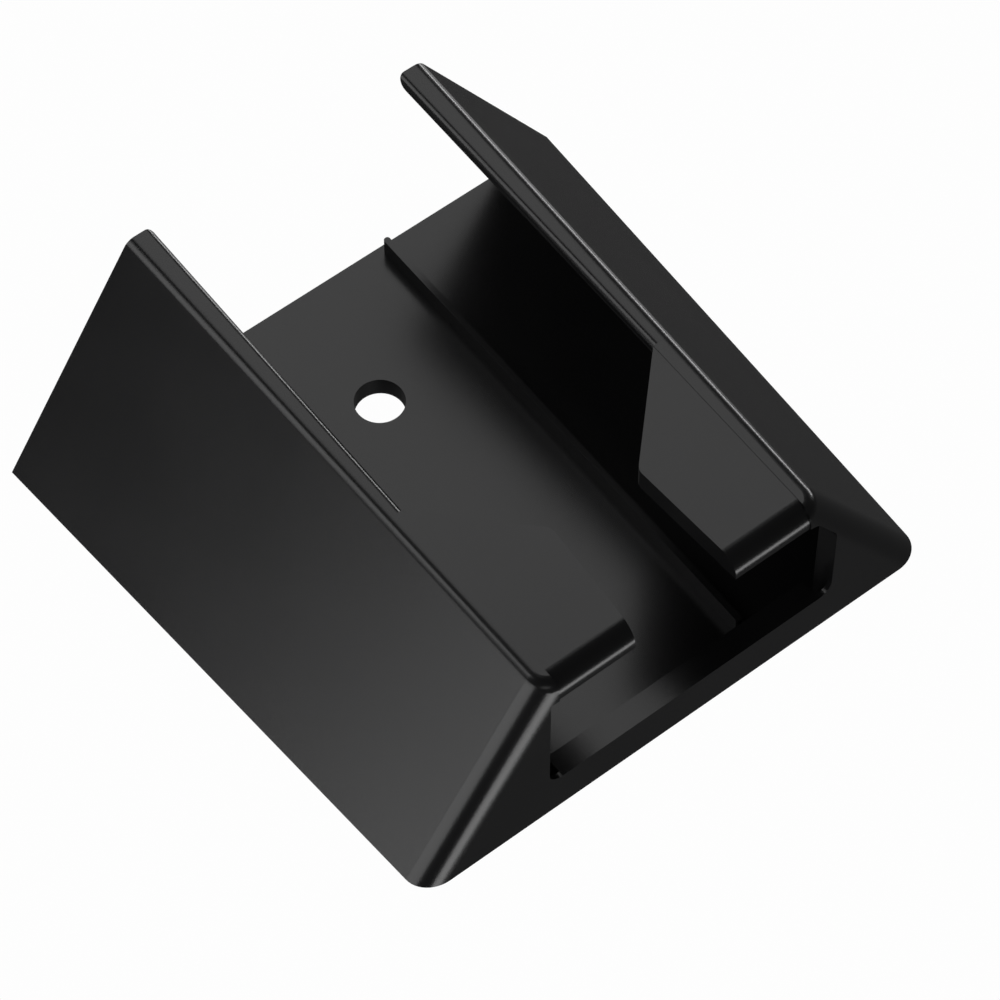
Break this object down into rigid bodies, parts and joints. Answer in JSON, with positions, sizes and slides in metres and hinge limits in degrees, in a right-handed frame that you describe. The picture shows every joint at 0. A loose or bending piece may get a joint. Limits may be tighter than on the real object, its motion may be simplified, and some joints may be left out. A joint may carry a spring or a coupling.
{
  "type": "ethernet adapter wall mount",
  "caption": "Wall-mounted plastic cradle with leaning side walls, front tabs and a cable window, open at its upper end, for a small wedge-shaped ethernet adapter.",
  "frame": {"origin": "middle of the back face, which lies on the wall, under the centre of the overall box", "axes": "+Z out of the wall towards the front, +Y from the closed lower end to the open upper end, +X to the right as seen from the front"},
  "size_m": [0.065, 0.0604, 0.024],
  "materials": {
    "moulded_plastic": "fine satin texture"
  },
  "bodies": {
    "root": {"wall_bracket": "moulded_plastic"}
  },
  "joints": []
}
